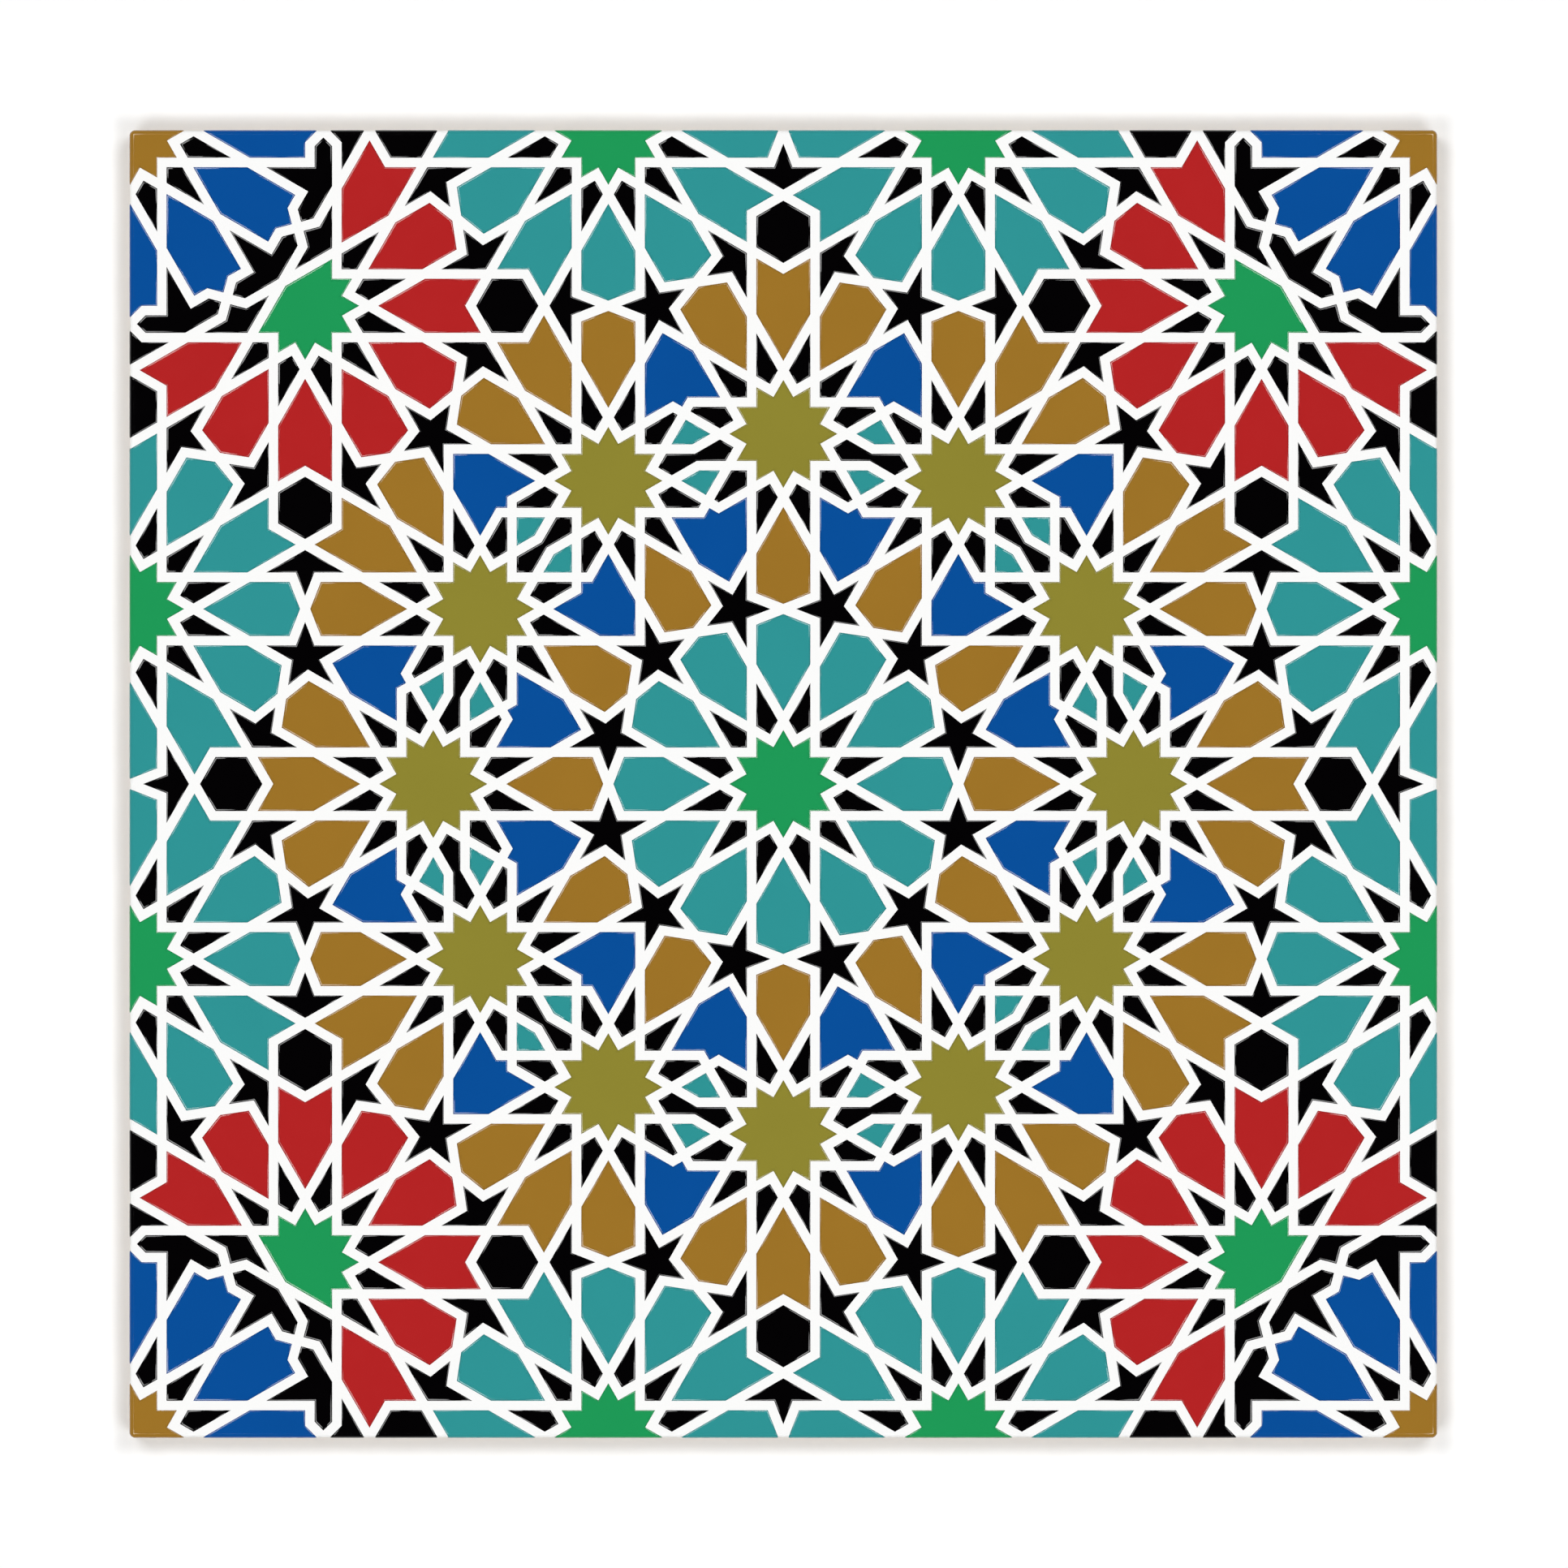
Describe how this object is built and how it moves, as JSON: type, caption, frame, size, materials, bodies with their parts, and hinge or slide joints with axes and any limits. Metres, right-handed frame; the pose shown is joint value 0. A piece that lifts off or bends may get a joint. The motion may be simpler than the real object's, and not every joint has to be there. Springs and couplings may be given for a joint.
{
  "type": "persian tile",
  "caption": "Square glazed ceramic wall tile with a multicoloured star-and-strapwork face, rounded glaze edge, drafted sides and a keyed back for adhesive.",
  "frame": {"origin": "middle of the back, on the plane of the bedding ribs", "axes": "+Z out of the glazed face, +X and +Y along two neighbouring edges of the square"},
  "size_m": [0.2, 0.2, 0.007],
  "materials": {
    "glazed_tile": "gloss glaze over a pressed white-buff body, decorated in seven coloured glazes between white lines"
  },
  "bodies": {
    "root": {"tile": "glazed_tile"}
  },
  "joints": []
}
